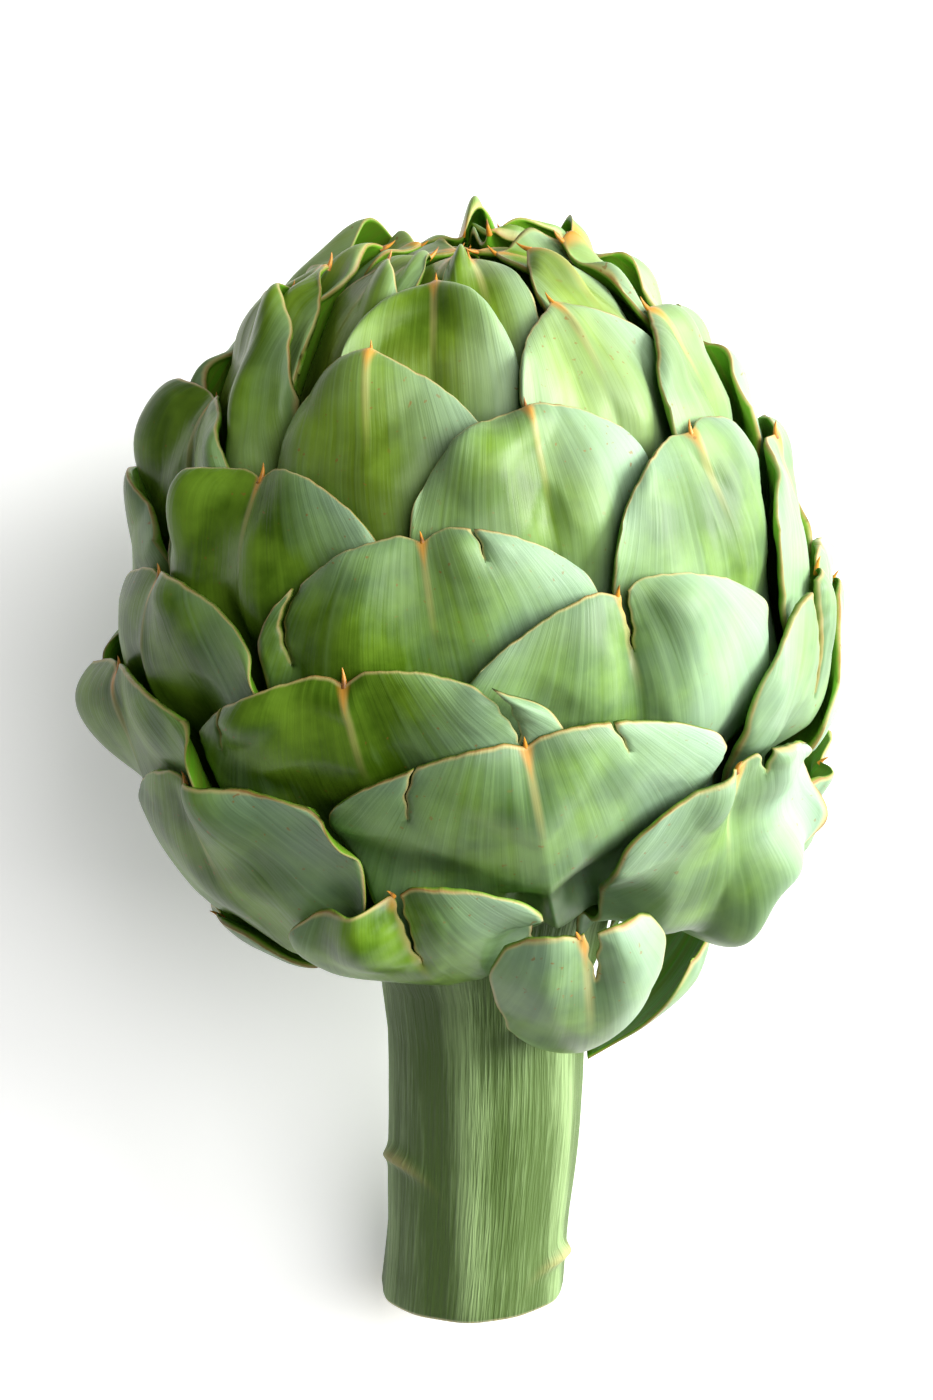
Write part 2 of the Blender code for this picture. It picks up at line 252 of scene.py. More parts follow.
def core_radius(angle):
    """Radius of the core at an angle from the tip, with the corners of the profile eased."""
    total = 0.0
    for shift in (-6.0, -3.0, 0.0, 3.0, 6.0):
        total = total + np.interp(angle + shift, CORE_ANGLES, CORE_RADII)
    return total / 5.0


class SurfaceMap:
    """The outer surface built so far, as a radius for each direction from the head's centre."""

    def __init__(self, core):
        self.radius = core.copy()
        self.around, self.along = core.shape

    def cells(self, points):
        length = np.linalg.norm(points, axis=-1)
        around = np.degrees(np.arctan2(points[..., 0], -points[..., 1])) % 360.0
        along = np.degrees(np.arccos(np.clip(points[..., 2] / length, -1.0, 1.0)))
        row = np.round(around / 360.0 * self.around).astype(int) % self.around
        column = np.round(along / MAP_END * self.along - 0.5).astype(int)
        return row, np.clip(column, 0, self.along - 1), length

    def highest(self, points, reach):
        """The highest radius near each point's direction, within a few cells."""
        row, column, _ = self.cells(points)
        found = self.radius[row, column]
        for row_step in range(-reach, reach + 1):
            for column_step in range(-reach, reach + 1):
                near = np.clip(column + column_step, 0, self.along - 1)
                found = np.maximum(found, self.radius[(row + row_step) % self.around, near])
        return found

    def add(self, points):
        row, column, length = self.cells(points)
        np.maximum.at(self.radius, (row, column), length)


def blurred(field):
    """The coarse map evened out over about a bract's width, closed round the axis."""
    along = field.shape[1]
    for _ in range(3):
        around = sum(np.roll(field, step, axis=0) for step in range(-10, 11)) / 21.0
        padded = np.pad(around, ((0, 0), (12, 12)), mode="edge")
        field = sum(padded[:, step:step + along] for step in range(25)) / 25.0
    return field


def finer(field, shape):
    """A map read at more cells, between its own values."""
    rows = np.arange(shape[0]) * field.shape[0] / shape[0]
    columns = np.clip((np.arange(shape[1]) + 0.5) * field.shape[1] / shape[1] - 0.5,
                      0.0, field.shape[1] - 1.001)
    row, column = np.floor(rows).astype(int), np.floor(columns).astype(int)
    row_share, column_share = (rows - row)[:, None], (columns - column)[None, :]
    after = (row + 1) % field.shape[0]
    here = field[np.ix_(row, column)] * (1.0 - column_share)
    here = here + field[np.ix_(row, column + 1)] * column_share
    there = field[np.ix_(after, column)] * (1.0 - column_share)
    there = there + field[np.ix_(after, column + 1)] * column_share
    return here * (1.0 - row_share) + there * row_share


def floor_radius(directed):
    """Radius at which each direction from the head's centre meets the floor."""
    rise = math.radians(AXIS_RISE)
    down = -(directed @ np.array([0.0, -math.cos(rise), math.sin(rise)]))
    height = HEAD_CENTRE[2] / MM
    return np.where(down > 0.05, height / np.maximum(down, 0.05), 1.0e6)


def settled_core():
    """The core let in where the bracts pile up and filled out where they lie thin."""
    angles = (np.arange(COARSE_MAP[1]) + 0.5) * MAP_END / COARSE_MAP[1]
    free = 1.0 - ease(angles, SETTLE_ANGLE, SETTLE_ANGLE + 18.0)
    wanted = np.interp(angles, HEAD_ANGLES, HEAD_RADII) - MEAN_BELOW_OUTLINE
    around, along = np.meshgrid(np.arange(COARSE_MAP[0]) * 2.0 * math.pi / COARSE_MAP[0],
                                np.radians(angles), indexing="ij")
    facing = np.stack([np.sin(around) * np.sin(along), -np.cos(around) * np.sin(along),
                       np.cos(along)], axis=-1)
    wanted = np.minimum(wanted, floor_radius(facing) - PRESSED_DEPTH)
    core = np.repeat(core_radius(angles)[None, :], COARSE_MAP[0], axis=0)
    for _ in range(SETTLE_PASSES):
        surface = SurfaceMap(core)
        for order in laying_orders():
            BractShape(order, surface, COARSE_GRID, COARSE_SAMPLES, 1, 0.5, 0.0)
        core = core - np.clip(blurred(surface.radius) - wanted, -3.0, 4.0) * free
    return core


def spline_weights(places, controls):
    """Weights of the control values of a smooth curve at places from 0 to 1."""
    position = places * (controls - 3)
    span = np.minimum(np.floor(position).astype(int), controls - 4)
    rest = position - span
    cubics = ((1.0 - rest) ** 3, 3.0 * rest ** 3 - 6.0 * rest ** 2 + 4.0,
              -3.0 * rest ** 3 + 3.0 * rest ** 2 + 3.0 * rest + 1.0, rest ** 3)
    weights = np.zeros((len(places), controls))
    for step, cubic in enumerate(cubics):
        weights[np.arange(len(places)), span + step] = cubic / 6.0
    return weights


def stiff_shell(beneath, net):
    """A smooth sheet on a net of controls that rests on everything beneath it."""
    columns, rows = beneath.shape
    across = spline_weights(np.linspace(0.0, 1.0, columns), net[0])
    along = spline_weights(np.linspace(0.0, 1.0, rows), net[1])
    control = np.linalg.pinv(across) @ beneath @ np.linalg.pinv(along).T
    spread = (across ** 2).sum(axis=1)[:, None] * (along ** 2).sum(axis=1)[None, :]
    for _ in range(SHELL_ROUNDS):
        short = np.maximum(beneath - across @ control @ along.T, 0.0) / spread
        for first in range(net[0]):
            part = (short * across[:, first][:, None]).max(axis=0)
            control[first] += 0.75 * (part[:, None] * along).max(axis=0)
    return np.maximum(across @ control @ along.T, beneath)


def grid_samples(points, count):
    """Points all over the cells of a grid."""
    steps = (np.arange(count) + 0.5) / count
    found = []
    for a in steps:
        for b in steps:
            found.append((points[:-1, :-1] * (1.0 - a) + points[1:, :-1] * a) * (1.0 - b)
                         + (points[:-1, 1:] * (1.0 - a) + points[1:, 1:] * a) * b)
    return np.stack(found)


def laying_orders():
    """The bracts' orders, as they are laid."""
    orders = [*range(FIRST_BRACT, LAST_BRACT + 1), *BUD_BRACTS]
    return sorted(orders, key=lambda order: LAID_AFTER.get(order, order))


def bract_half_width(order):
    """Half the greatest width of a bract."""
    grown = 1.0 - math.exp(-(order / HALF_WIDTH_TURNS) ** HALF_WIDTH_POWER)
    half_width = HALF_WIDTH_FIRST + HALF_WIDTH_GROWTH * grown
    half_width -= OUTER_SHRINK * max(0, order - OUTER_SHRINK_FROM)
    return NARROW_BRACTS.get(order, half_width)


def bract_place(order):
    """Azimuth of a bract, and the angles of its tip and its base from the head's tip."""
    turn, shift = STRAY.get(order, (0.0, 0.0))
    azimuth = SPIRAL_START + DIVERGENCE * order + turn
    tip = KEY_TIP_ANGLE * (order / KEY_BRACT) ** TIP_ANGLE_POWER + shift
    azimuth, tip = BUD_BRACTS.get(order, (azimuth, tip))
    base = BASE_ANGLE_FIRST + BASE_ANGLE_GROWTH * order
    if order in FREE:
        base = FREE[order][0]
    return math.radians(azimuth), tip, base


class BractShape:
    """One bract: grids of its inner and outer skins, laid on the surface built so far."""

    def __init__(self, order, surface, grid, samples, reach, rim, notch):
        self.order = order
        self.random = np.random.default_rng(RANDOM_SEED + round(10 * order))
        self.split_cells = set()
        self.outline(grid, notch)
        self.split()
        self.lay(surface, reach, rim)
        surface.add(grid_samples(self.directed * self.outer[..., None], samples))

    def wave(self, values, wavelengths):
        """An uneven line: sines of a few wavelengths, about 1 high in all."""
        total = 0.0
        for wavelength in wavelengths:
            phase = self.random.uniform(0.0, 2.0 * math.pi)
            total = total + np.sin(values / wavelength * 2.0 * math.pi + phase)
        return total / len(wavelengths)

    def outline(self, grid, notch):
        """Lays the grid out flat: across and down from the tip, in millimetres."""
        order = self.order
        self.half_width = bract_half_width(order)
        self.azimuth, self.tip, base = bract_place(order)
        shoulder = max(SHOULDER_LEAST, SHOULDER_FIRST - SHOULDER_FALL * order)
        shoulder = min(shoulder, YOUNG_SHOULDER + YOUNG_SHOULDER_RISE * order)
        if order > OUTER_SHRINK_FROM:
            shoulder *= math.sqrt(self.half_width / 32.0)
        length = math.radians(base - self.tip) * ARC_RADIUS
        corner = shoulder * math.sqrt(-math.log(1.0 - SHOULDER_SHARE ** 4))
        even = np.linspace(-1.0, 1.0, grid[0])[:, None]
        self.u = np.sign(even) * np.abs(even) ** 1.25
        self.v = (np.linspace(0.0, 1.0, grid[1]) ** 1.35)[None, :]
        top = shoulder * np.sqrt(-np.log(1.0 - (SHOULDER_SHARE * np.abs(self.u)) ** 4))
        across = self.u * self.half_width
        grown = float(ease(order, 16.0, 30.0))
        top = top + notch * grown * np.exp(-(np.abs(across) / 2.6) ** 1.6)
        if notch > 0.0:
            top = top - 1.8 * (1.0 - grown) * np.exp(-(np.abs(across) / 2.4) ** 1.2)
            top = top + 0.22 * self.wave(across, (19.0, 9.5, 5.3, 3.1)) * np.clip(
                np.abs(across) / 4.0, 0.0, 1.0)
        side = corner + self.v * (length - corner)
        width = self.half_width * (1.0 - np.exp(-(side / shoulder) ** 2)) ** 0.25
        width = width * (1.0 - BASE_NARROWING * ease(side, corner, length))
        if notch > 0.0:
            width = width + 0.3 * self.wave(side, (23.0, 11.0, 6.1))
        self.along = top + self.v * (length - top)
        self.across = self.u * width
        self.depth = self.along - top
        self.edge = np.minimum(self.depth, (1.0 - np.abs(self.u)) * width)
        self.lift = np.zeros_like(self.depth)

    def split(self):
        """Opens the splits in the top edge between two columns of the grid."""
        if self.depth.shape[0] < FINE_GRID[0]:
            return
        for place, depth, gap, lift in SPLITS.get(self.order, ()):
            middle = (self.u[:-1, 0] + self.u[1:, 0]) / 2.0
            left = int(np.argmin(np.abs(middle - place)))
            centre = (self.across[left] + self.across[left + 1]) / 2.0
            wander = 0.25 * self.wave(self.depth[left], (5.3, 2.9))
            own = (self.across[left + 1] - self.across[left]) / 2.0
            share = np.clip(1.0 - self.depth[left] / depth, 0.0, 1.0)
            opened = np.maximum(gap / 2.0 * share ** 0.8, 0.03)
            opened = opened + (own - opened) * ease(self.depth[left], depth, depth + 3.0)
            apart = self.across - centre
            away = np.maximum(np.abs(apart) - own, 0.0)
            moved = np.abs(apart) + (opened - own) * bump(away, 5.0)
            ragged = wander * bump(away, 3.0) * (share > 0.0)
            self.across = centre + np.sign(apart) * moved + ragged
            in_split = np.clip(self.depth / depth, 0.0, 1.0)
            torn = np.hypot(away, np.maximum(self.depth - depth, 0.0)) + 0.15
            self.edge = np.minimum(self.edge, torn)
            outer_side = np.sign(apart) == (1.0 if place >= 0.0 else -1.0)
            self.lift += lift * outer_side * np.exp(-away / 6.0) * (1.0 - in_split)
            for row in range(int(np.argmax(self.depth[left] >= depth))):
                self.split_cells.add((left, row))

    def lay(self, surface, reach, rim):
        """Rests the inner skin on the surface beneath and swells the outer skin over it."""
        lean = math.radians(BRACT_LEAN)
        down = self.along * math.cos(lean) - self.across * math.sin(lean)
        aside = self.across * math.cos(lean) + self.along * math.sin(lean)
        outward = np.array([math.sin(self.azimuth), -math.cos(self.azimuth), 0.0])
        sideways = np.array([math.cos(self.azimuth), math.sin(self.azimuth), 0.0])
        angle = math.radians(self.tip) + down / ARC_RADIUS
        spread = (aside / ARC_RADIUS)[..., None]
        middle = np.sin(angle)[..., None] * outward
        middle = middle + np.cos(angle)[..., None] * np.array([0.0, 0.0, 1.0])
        self.directed = np.cos(spread) * middle + np.sin(spread) * sideways

        net = STIFF_NET if self.order in STIFF_BRACTS else SHELL_NET
        inner = stiff_shell(surface.highest(self.directed, reach) + PLAY, net)
        young = YOUNG_STAND_OFF * (1.0 - float(ease(self.order, 6.0, 14.0)))
        stand_off = STAND_OFF.get(self.order, TIP_STAND_OFF + young)
        inner = inner + stand_off * (1.0 - self.v) ** 2
        if self.order in FREE:
            _, tip, base, bulge, curl, twist = FREE[self.order]
            inner = tip + (base - tip) * self.v + bulge * np.sin(math.pi * self.v)
            inner = inner - (curl * self.u ** 2 + twist * self.u) * (1.0 - 0.6 * self.v)
        inward = np.maximum(self.edge, 0.0)
        swell = (1.0 - np.exp(-inward / 3.2)) * (1.0 - 0.35 * np.abs(self.u) ** 3)
        lowest = float(ease(self.order, 42.0, 48.0))
        hidden = HIDDEN_DEPTH + (LOWEST_HIDDEN_DEPTH - HIDDEN_DEPTH) * lowest
        shown = 1.0 - ease(self.depth, SHOWN_DEPTH, hidden)
        body = 1.0 - np.exp(-inward / 1.2)
        plump = YOUNG_SWELL_SHARE + (1.0 - YOUNG_SWELL_SHARE) * float(
            ease(self.order, 5.0, 26.0))
        outer = inner + rim + 0.3 * body + SWELL_THICKNESS * plump * swell * shown

        polar = np.degrees(np.arccos(self.directed[..., 2]))
        full = np.interp(polar, HEAD_ANGLES, HEAD_RADII) - FILL_DROP * self.depth
        fill = np.clip(full - outer, 0.0, 4.0) * FILL_SHARE * shown

        grown = float(ease(self.order, 14.0, 28.0))
        puff = PUFF_HEIGHT * bump(np.abs(self.u) - 0.42, 0.26) * bump(self.depth - 7.0, 7.0)
        valley = VALLEY_DEPTH * bump(self.across, 4.5) * bump(self.depth - 2.0, 9.0)
        keel = KEELS.get(self.order, 0.0) * np.exp(-np.abs(self.across) / 4.5)
        keel = keel * (1.0 - np.exp(-self.depth / 4.0)) * shown
        bend = 0.25 * self.wave(self.across, (31.0, 17.0)) * self.wave(self.depth, (41.0, 23.0))
        both = self.lift + bend * body + fill + keel
        outer = outer + both + (puff - valley) * grown * shown
        midrib = MIDRIB_HEIGHT * bump(self.across, 0.45) * np.exp(-self.depth / 11.0) * body
        inner = inner + 0.8 * both
        outer = np.minimum(outer + midrib, floor_radius(self.directed))
        self.inner = np.minimum(inner, outer - 0.8 * rim)
        self.outer = outer

    def points(self):
        """The inner skin's points and then the outer skin's, in the head's own frame."""
        skins = [self.directed * radius[..., None] for radius in (self.inner, self.outer)]
        return np.concatenate([skin.reshape(-1, 3) for skin in skins])


def head_matrix():
    """From the head's own frame to the row frame: the tip is up before it is laid down."""
    turned = Matrix.Rotation(math.radians(AXIS_RISE - 90.0), 4, "X")
    return Matrix.Translation(HEAD_CENTRE) @ turned @ Matrix.Scale(MM, 4)


def placed(points):
    """Points of the head's own frame, in millimetres, in the row frame, in metres."""
    matrix = np.array(head_matrix())
    return points @ matrix[:3, :3].T + matrix[:3, 3]


def write_attribute(mesh, name, values):
    layer = mesh.attributes.new(name, "FLOAT", "POINT")
    layer.data.foreach_set("value", np.asarray(values, np.float32).ravel())


def new_piece(name, mesh, material, slot, *nodes):
    """Puts a finished mesh in the scene, as a piece that stands for CAD nodes."""
    mesh.materials.clear()
    mesh.materials.append(material)
    mesh.shade_smooth()
    piece = bpy.data.objects.new(name, mesh)
    bpy.context.scene.collection.objects.link(piece)
    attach(piece, "root")
    if nodes:
        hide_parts(*nodes)
    return piece


def mesh_from(made, name):
    mesh = bpy.data.meshes.new(name)
    made.to_mesh(mesh)
    made.free()
    return mesh


def bract_mesh(shape, name):
    """A grid for the inner skin, pushed out to the outer skin and closed at the rim."""
    columns, rows = shape.inner.shape
    made = bmesh.new()
    place = made.verts.layers.int.new("place")
    bmesh.ops.create_grid(made, x_segments=columns - 1, y_segments=rows - 1, size=1.0)
    for vert in made.verts:
        i = round((vert.co.x + 1.0) / 2.0 * (columns - 1))
        j = round((vert.co.y + 1.0) / 2.0 * (rows - 1))
        vert[place] = i * rows + j
    opened = [face for face in made.faces
              if divmod(min(vert[place] for vert in face.verts), rows) in shape.split_cells]
    bmesh.ops.delete(made, geom=opened, context="FACES")
    pushed = bmesh.ops.extrude_face_region(made, geom=made.faces[:])
    for item in pushed["geom"]:
        if isinstance(item, bmesh.types.BMVert):
            item[place] += columns * rows
    mesh = mesh_from(made, name)
    order = np.zeros(len(mesh.vertices), np.int32)
    mesh.attributes["place"].data.foreach_get("value", order)
    mesh.attributes.remove(mesh.attributes["place"])
    mesh.vertices.foreach_set("co", placed(shape.points())[order].astype(np.float32).ravel())
    flat = order % (columns * rows)
    converge = 1.0 + 1.1 * np.exp(-shape.depth / 9.0)
    # The last attribute holds the wax share together with its painted light.
    for kind, values in (("across", shape.across), ("down", shape.depth),
                         ("edge", shape.edge), ("vein", shape.across * converge),
                         ("bloom_and_painted_light", wax_and_painted_light_share(shape))):
        write_attribute(mesh, kind, values.ravel()[flat])
    write_attribute(mesh, "outside", order >= columns * rows)
    write_attribute(mesh, "young", np.full(len(order), 1.0 - ease(shape.order, 8.0, 30.0)))
    write_attribute(mesh, "tone", np.full(len(order), shape.random.uniform(0.0, 1.0)))
    return outward_mesh(mesh)


def outward_mesh(mesh):
    """The same mesh with its faces pointing outwards."""
    made = bmesh.new()
    made.from_mesh(mesh)
    bmesh.ops.recalc_face_normals(made, faces=made.faces[:])
    made.to_mesh(mesh)
    made.free()
    return mesh


def wax_and_painted_light_share(shape):
    """How thick the wax lies, most on the shoulders, plus painted light: paler towards the head's
    +X side, where the key light falls.
    """
    sides = ease(shape.u, 0.1, 0.75) + 0.6 * ease(-shape.u, 0.2, 0.9)
    top = np.exp(-shape.depth / 3.5)
    # The 0.42 * x term is painted light: the bracts on the key light's side are painted paler.
    own = shape.random.uniform(-0.08, 0.08) + 0.42 * shape.directed[..., 0]
    return np.clip(0.08 + 0.45 * sides + 0.22 * top + own, -0.3, 1.0)


def lathe(profile, steps):
    """A profile of radius and height turned about the head's axis."""
    made = bmesh.new()
    verts = [made.verts.new((radius, 0.0, height)) for radius, height in profile]
    edges = [made.edges.new(pair) for pair in zip(verts, verts[1:])]
    bmesh.ops.spin(made, geom=verts + edges, cent=(0.0, 0.0, 0.0), axis=(0.0, 0.0, 1.0),
                   dvec=(0.0, 0.0, 0.0), angle=2.0 * math.pi, steps=steps)
    bmesh.ops.remove_doubles(made, verts=made.verts[:], dist=0.01)
    bmesh.ops.recalc_face_normals(made, faces=made.faces[:])
    return made


def core_point(core, angle):
    """Radius from the axis and height of the core's surface, kept within the settled core."""
    column = min(int(angle / MAP_END * core.shape[1]), core.shape[1] - 1)
    radius = float(core[:, column].min()) - 0.1
    return radius * math.sin(math.radians(angle)), radius * math.cos(math.radians(angle))


def stem_profile(core):
    """From the hollow under the heart over its rim, down the neck and the stem to the cut."""
    profile = [(0.0, HEART_TOP), core_point(core, BUD_END_ANGLE + 1.0)]
    for angle in np.arange(120.0, 167.5, 3.0):
        profile.append(core_point(core, float(angle)))
    top = profile[-1][1]
    for height in np.linspace(min(top - 1.0, -74.0), STEM_END + 0.8, 60):
        radius = np.interp(height, (-108.0, -84.0), (STEM_RADIUS, NECK_RADIUS))
        profile.append((float(radius), float(height)))
    profile.append((STEM_RADIUS - 0.25, STEM_END + 0.25))
    for radius in np.linspace(STEM_RADIUS - 0.8, 1.0, 9):
        profile.append((float(radius), STEM_END))
    profile.append((0.0, STEM_END))
    return profile


# The scars of lower leaves on the stem: azimuth, height and half width.
SCARS = ((-62.0, -95.0, 5.0), (64.0, -113.0, 4.5), (150.0, -90.0, 5.0), (-150.0, -108.0, 4.5))
SCAR_HEIGHT = 1.7


def rib_wave(azimuth, height):
    """The uneven ribs round the stem, from -1 in a furrow to 1 on a rib."""
    azimuth = azimuth + 0.004 * (height + 90.0)
    return 0.6 * np.cos(6.0 * azimuth + 0.7) + 0.4 * np.cos(11.0 * azimuth + 2.1)


def scar_ridges(azimuth, height, thickness):
    """The curved ridges of the leaf scars, 1 high on a ridge, each with its thickness."""
    ridges = []
    for place, middle, width in SCARS:
        apart = (np.degrees(azimuth) - place + 180.0) % 360.0 - 180.0
        across = np.radians(apart) * STEM_RADIUS
        over = height - middle + 0.05 * across ** 2
        ridges.append(bump(across, width) * bump(over, thickness))
    return ridges


def stem_bend(height):
    """How far the stem has bent to the side at a height."""
    below = np.maximum(0.0, BEND_START - height) / (BEND_START - STEM_END)
    return STEM_BEND * below ** 1.6


def shape_stem(made, rib_height):
    """Raises ribs and leaf scars on the turned stem, roughens its cut and bends it."""
    for vert in made.verts:
        x, y, z = vert.co
        radius = math.hypot(x, y)
        if radius > 0.01 and z < -60.0:
            azimuth = math.atan2(x, -y)
            shown = float(ease(-z, 60.0, 72.0)) * min(1.0, radius / STEM_RADIUS) ** 6
            grow = rib_height * float(rib_wave(azimuth, z))
            grow += 0.12 * math.sin(z * 0.21 + 2.0 * azimuth)
            grow += SCAR_HEIGHT * float(sum(scar_ridges(azimuth, z, 1.3)))
            vert.co.x += x / radius * grow * shown
            vert.co.y += y / radius * grow * shown
        if z < STEM_END + 0.1:
            vert.co.z += 0.25 * math.sin(1.3 * x + 0.4) * math.sin(1.7 * y + 1.1) + 0.25
        vert.co.x += float(stem_bend(z))


MATH, STEP, MIX = "ShaderNodeMath", "ShaderNodeMapRange", "ShaderNodeMix"
NOISE, ATTRIBUTE, BUMP = "ShaderNodeTexNoise", "ShaderNodeAttribute", "ShaderNodeBump"
SMOOTH = {"interpolation_type": "SMOOTHSTEP"}
COLOURS = {"data_type": "RGBA", "output": 2}


def node(tree, kind, inputs=(), output=0, **settings):
    """Adds a node with its settings and what its inputs take, and gives one of its outputs.

    An input takes a value or the socket that is linked into it.
    """
    made = tree.nodes.new(kind)
    for name, value in settings.items():
        setattr(made, name, value)
    for name, value in inputs.items() if isinstance(inputs, dict) else enumerate(inputs):
        if isinstance(value, bpy.types.NodeSocket):
            tree.links.new(value, made.inputs[name])
        else:
            made.inputs[name].default_value = value
    return made.outputs[output] if made.outputs else made


def new_material(name):
    """An empty node material, its tree and its place in object space."""
    material = bpy.data.materials.new(name)
    material.use_nodes = True
    tree = material.node_tree
    tree.nodes.clear()
    return material, tree, node(tree, "ShaderNodeTexCoord", output="Object")


def bract_material(colours):
    """Fresh bract skin: tough green leaf with veins under a bloom of pale wax.

    The wax scatters light softly, so the green shows deep only where it has rubbed off, and
    the dry margin and the split edges turn straw-coloured and then brown.
    """
    material, tree, place = new_material("waxy_artichoke_bract")
    across, down, edge, vein, tone, young, outside, wax_and_painted_light = (
        node(tree, ATTRIBUTE, output="Fac", attribute_name=name)
        for name in ("across", "down", "edge", "vein", "tone", "young", "outside", "bloom_and_painted_light"))

    # Main veins lie about 1.6 mm apart and the fine ones between them about 0.5 mm. The
    # mottling is about 10 mm across and the patches of rubbed wax about 30 mm.
    spot = node(tree, "ShaderNodeCombineXYZ", (vein, down, tone))
    spread, fine_spread = (
        node(tree, "ShaderNodeVectorMath", (spot, scale), operation="MULTIPLY")
        for scale in ((0.62, 0.02, 37.0), (1.9, 0.06, 37.0)))
    veins, fine_veins, mottling, patches, specks = (
        node(tree, NOISE, {"Vector": vector, "Scale": scale, "Detail": detail})
        for vector, scale, detail in ((spread, 1.0, 2.0), (fine_spread, 1.0, 3.0),
                                      (place, 95.0, 4.0), (place, 34.0, 3.0),
                                      (place, 900.0, 1.0)))

    lighter = node(tree, STEP, (mottling, 0.35, 0.7), **SMOOTH)
    veined = node(tree, STEP, (veins, 0.5, 0.68, 0.0, 0.3), **SMOOTH)
    yellowed = node(tree, STEP, (patches, 0.2, 0.75, 0.0, 0.75), **SMOOTH)
    yellowed = node(tree, MATH, (yellowed, young), operation="MULTIPLY")
    # The wax share holds painted light as well as wax: it paints the bracts on the key light's
    # side paler.
    wax_and_painted_light_mask = node(tree, MATH, (patches, 1.1, wax_and_painted_light), operation="MULTIPLY_ADD")
    wax_and_painted_light_mask = node(tree, MATH, (veins, 0.36, wax_and_painted_light_mask), operation="MULTIPLY_ADD")
    wax_and_painted_light_mask = node(tree, MATH, (fine_veins, 0.14, wax_and_painted_light_mask), operation="MULTIPLY_ADD")
    wax_and_painted_light_mask = node(tree, MATH, (wax_and_painted_light_mask, 0.8), operation="SUBTRACT", use_clamp=True)
    bloom_and_painted_light_mix = node(tree, MATH, (wax_and_painted_light_mask, 0.8), operation="MULTIPLY")

    # The midrib shows as a pale straw line from the thorn down, horny orange at its top.
    beside = node(tree, MATH, (across,), operation="ABSOLUTE")
    rib = node(tree, STEP, (beside, 0.15, 0.9, 1.0, 0.0), **SMOOTH)
    rib_end = node(tree, STEP, (down, 5.0, 17.0, 0.4, 0.0), **SMOOTH)
    rib = node(tree, MATH, (rib, rib_end), operation="MULTIPLY")
    tip = node(tree, MATH, (beside, 3.4, down), operation="MULTIPLY_ADD")
    tip = node(tree, STEP, (tip, 0.8, 5.5, 0.75, 0.0), **SMOOTH)
    ragged = node(tree, MATH, (mottling, 0.9, edge), operation="MULTIPLY_ADD")
    dry = node(tree, STEP, (ragged, 0.45, 1.0, 0.75, 0.0), **SMOOTH)
    burnt = node(tree, STEP, (ragged, 0.3, 0.65, 0.8, 0.0), **SMOOTH)

    # Small brown specks where the wax is rubbed, 0.3 to 0.6 mm across.
    specks = node(tree, STEP, (specks, 0.7, 0.76, 0.0, 0.6), **SMOOTH)
    rubbed = node(tree, STEP, (patches, 0.45, 0.6), **SMOOTH)
    specks = node(tree, MATH, (specks, rubbed), operation="MULTIPLY")

    skin = colours.deep_green
    for share, over in ((lighter, colours.leaf_green), (veined, colours.leaf_green),
                        (yellowed, colours.young_green), (bloom_and_painted_light_mix, colours.bloom_and_painted_light),
                        (rib, colours.margin), (tip, colours.thorn), (dry, colours.margin),
                        (burnt, colours.scorch), (specks, colours.scorch)):
        skin = node(tree, MIX, {0: share, 6: skin, 7: over}, **COLOURS)
    share = node(tree, STEP, (veins, 0.4, 0.65), **SMOOTH)
    inside = node(tree, MIX, {0: share, 6: colours.inner_face, 7: colours.leaf_green},
                  **COLOURS)
    colour = node(tree, MIX, {0: outside, 6: inside, 7: skin}, **COLOURS)
    rough = node(tree, MATH, (wax_and_painted_light_mask, 0.2, 0.34), operation="MULTIPLY_ADD")
    height = node(tree, MATH, (fine_veins, 0.45, veins), operation="MULTIPLY_ADD")
    relief = node(tree, BUMP, {"Strength": 0.22, "Distance": 0.0005, "Height": height})
    shader = node(tree, "ShaderNodeBsdfPrincipled", {
        "Base Color": colour, "Roughness": rough, "Specular IOR Level": 0.25,
        "Normal": relief})
    node(tree, "ShaderNodeOutputMaterial", {"Surface": shader})
    return material


